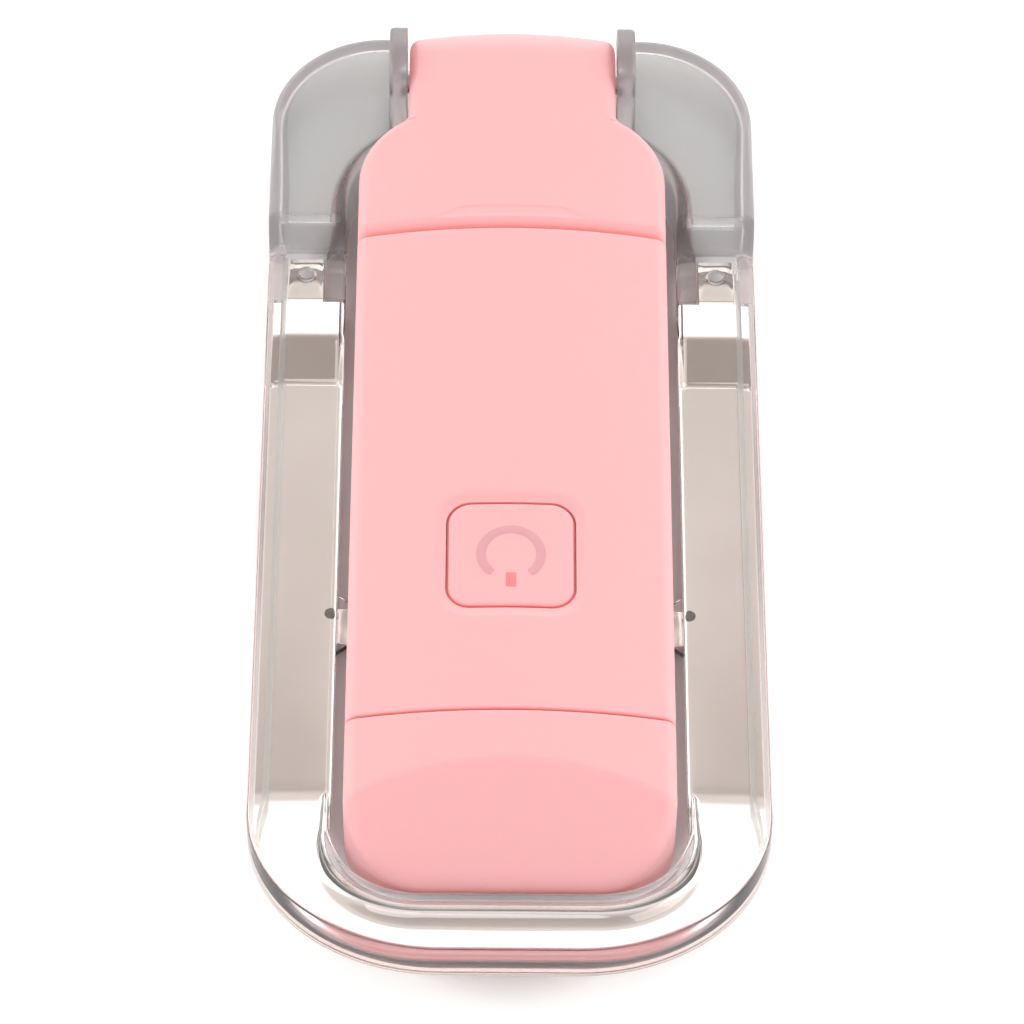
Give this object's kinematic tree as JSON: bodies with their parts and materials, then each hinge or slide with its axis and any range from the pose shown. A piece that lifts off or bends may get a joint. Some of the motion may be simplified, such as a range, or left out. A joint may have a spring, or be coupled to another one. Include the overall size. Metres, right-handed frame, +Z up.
{
  "type": "eyelash curler",
  "caption": "Folding heated eyelash curler: a pink battery-powered arm with a push button, hinged into a clear ring frame that carries a polished steel jaw plate.",
  "frame": {"origin": "centre of the footprint, on the plane the rails of the clear frame rest on", "axes": "+Z up out of the table, +Y from the front lip towards the hinge, +X to the right when seen from the front lip"},
  "size_m": [0.0438, 0.0998, 0.0115],
  "materials": {
    "clear_plastic": "clear polished polycarbonate",
    "polished_steel": "polished stainless",
    "steel": "plain steel",
    "pink_plastic": "satin moulded ABS",
    "icon_plastic": "translucent inlay",
    "battery_foil": "laminated pouch foil",
    "foam": "closed-cell foam",
    "red_sleeve": "wire insulation",
    "black_sleeve": "wire insulation",
    "white_sleeve": "wire insulation",
    "board_green": "solder mask",
    "black_plastic": "moulded",
    "cream_plastic": "moulded",
    "silicone": "matt silicone",
    "aluminium": "plain",
    "polyimide": "film"
  },
  "bodies": {
    "frame": {"clear_frame": "clear_plastic", "jaw_plate": "polished_steel", "hinge_pin": "steel", "hinge_spring": "steel"},
    "arm": {"arm_base": "pink_plastic", "hinge_cover": "pink_plastic", "nose_cap": "pink_plastic", "arm_screws": "steel", "battery": "battery_foil", "battery_pad": "foam", "battery_lead_positive": "red_sleeve", "battery_lead_negative": "black_sleeve", "circuit_board": "board_green", "controller_chip": "black_plastic", "tact_switch": "black_plastic", "indicator_led": "cream_plastic", "charge_port": "steel", "port_tongue": "black_plastic", "lash_pad": "silicone", "heater_plate": "aluminium", "heating_film": "polyimide", "heater_insulator": "cream_plastic", "thermistor": "black_plastic", "heater_leads": "white_sleeve"},
    "cover": {"front_cover": "pink_plastic"},
    "button": {"button_cap": "pink_plastic", "button_icon": "icon_plastic", "switch_plunger": "cream_plastic"}
  },
  "joints": [
    {"name": "arm_hinge", "type": "hinge", "parent": "frame", "child": "arm", "pos_m": [0, 0.0443, 0.0065], "axis": [-1, 0, 0], "range_deg": [0, 90], "stiffness_Nm_per_rad": 0.02, "springref_deg": -34.38, "deforming": ["hinge_spring"]},
    {"name": "cover_lift", "type": "slide", "parent": "arm", "child": "cover", "axis": [0, 0, 1], "range_m": [0, 0.02]},
    {"name": "button_press", "type": "slide", "parent": "arm", "child": "button", "axis": [0, 0, -1], "range_m": [0, 0.0004], "stiffness_N_per_m": 400, "springref_m": -0.0004}
  ]
}
